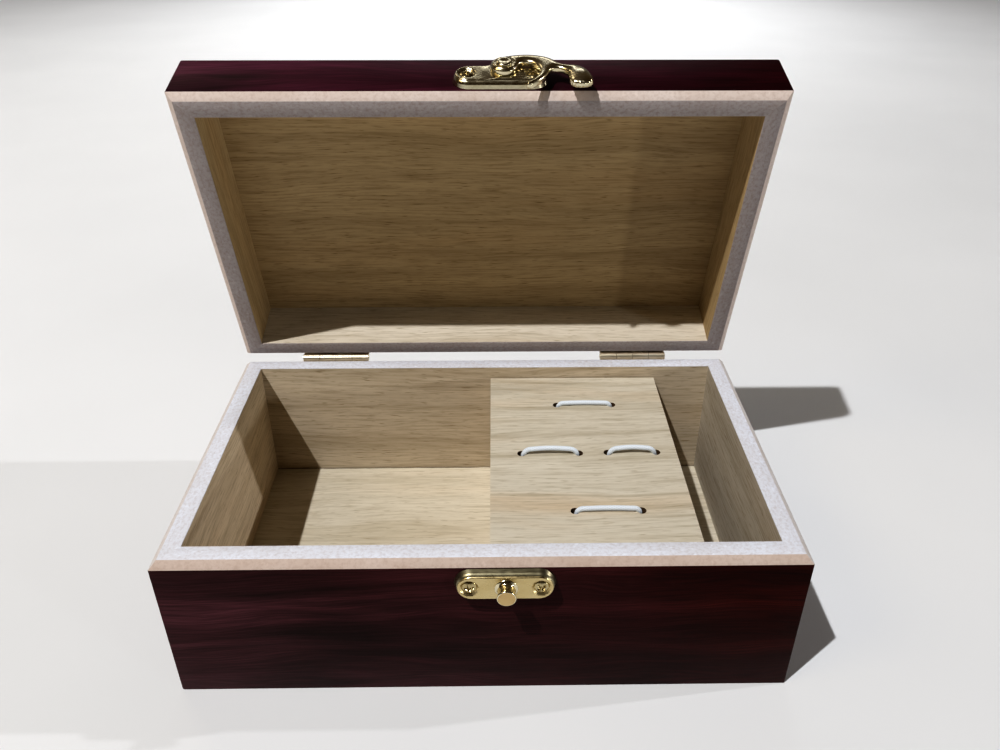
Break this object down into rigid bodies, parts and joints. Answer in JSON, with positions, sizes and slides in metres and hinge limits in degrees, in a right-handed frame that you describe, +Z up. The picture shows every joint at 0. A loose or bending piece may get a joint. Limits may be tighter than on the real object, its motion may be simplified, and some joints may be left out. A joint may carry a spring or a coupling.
{
  "type": "wooden box",
  "caption": "Hinged wooden box with dark printed outside, oak inside, brass swing-hook latch and a loose bridge insert whose deck carries white elastic loops.",
  "frame": {"origin": "centre of the underside of the base", "axes": "+X to the right along the width, +Y to the back where the hinges are, +Z up"},
  "size_m": [0.2, 0.15, 0.1814],
  "materials": {
    "printed_mdf_board": "dark rosewood print outside, oak print inside, bare fibreboard rims",
    "oak_print_panel": "oak-faced panel, matt",
    "oak_plywood": "thin oak-faced plywood, unfinished",
    "polished_brass": "bright plated casting",
    "brass_fasteners": "bright plated steel screws and pins",
    "white_elastic": "braided round elastic cord"
  },
  "bodies": {
    "base": {"base_back_wall": "printed_mdf_board", "base_floor": "oak_print_panel", "base_front_wall": "printed_mdf_board", "base_left_wall": "printed_mdf_board", "base_right_wall": "printed_mdf_board", "catch_plate": "polished_brass", "catch_screws": "brass_fasteners", "catch_stud": "polished_brass", "hinge_base_screws": "brass_fasteners", "hinge_left_base_leaf": "polished_brass", "hinge_left_pin": "brass_fasteners", "hinge_right_base_leaf": "polished_brass", "hinge_right_pin": "brass_fasteners"},
    "lid": {"hinge_left_lid_leaf": "polished_brass", "hinge_lid_screws": "brass_fasteners", "hinge_right_lid_leaf": "polished_brass", "latch_plate": "polished_brass", "latch_rivet": "polished_brass", "latch_screws": "brass_fasteners", "lid_back_wall": "printed_mdf_board", "lid_front_wall": "printed_mdf_board", "lid_left_wall": "printed_mdf_board", "lid_panel": "oak_print_panel", "lid_right_wall": "printed_mdf_board"},
    "hook": {"latch_hook": "polished_brass"},
    "insert": {"elastic_loop_back": "white_elastic", "elastic_loop_front": "white_elastic", "elastic_loop_left": "white_elastic", "elastic_loop_right": "white_elastic", "insert_deck": "oak_plywood", "insert_left_board": "oak_plywood", "insert_right_board": "oak_plywood"}
  },
  "joints": [
    {"name": "lid_hinge", "type": "hinge", "parent": "base", "child": "lid", "pos_m": [0, 0.0605, 0.056], "axis": [-1, 0, 0], "range_deg": [-73.8, 76.2]},
    {"name": "hook_pivot", "type": "hinge", "parent": "lid", "child": "hook", "pos_m": [0.0075, 0.0361, 0.17439], "axis": [0, -0.279, 0.9603], "range_deg": [-74, 100]},
    {"name": "insert_slide", "type": "slide", "parent": "base", "child": "insert", "axis": [1, 0, 0], "range_m": [-0.0936, 0.0218]}
  ]
}
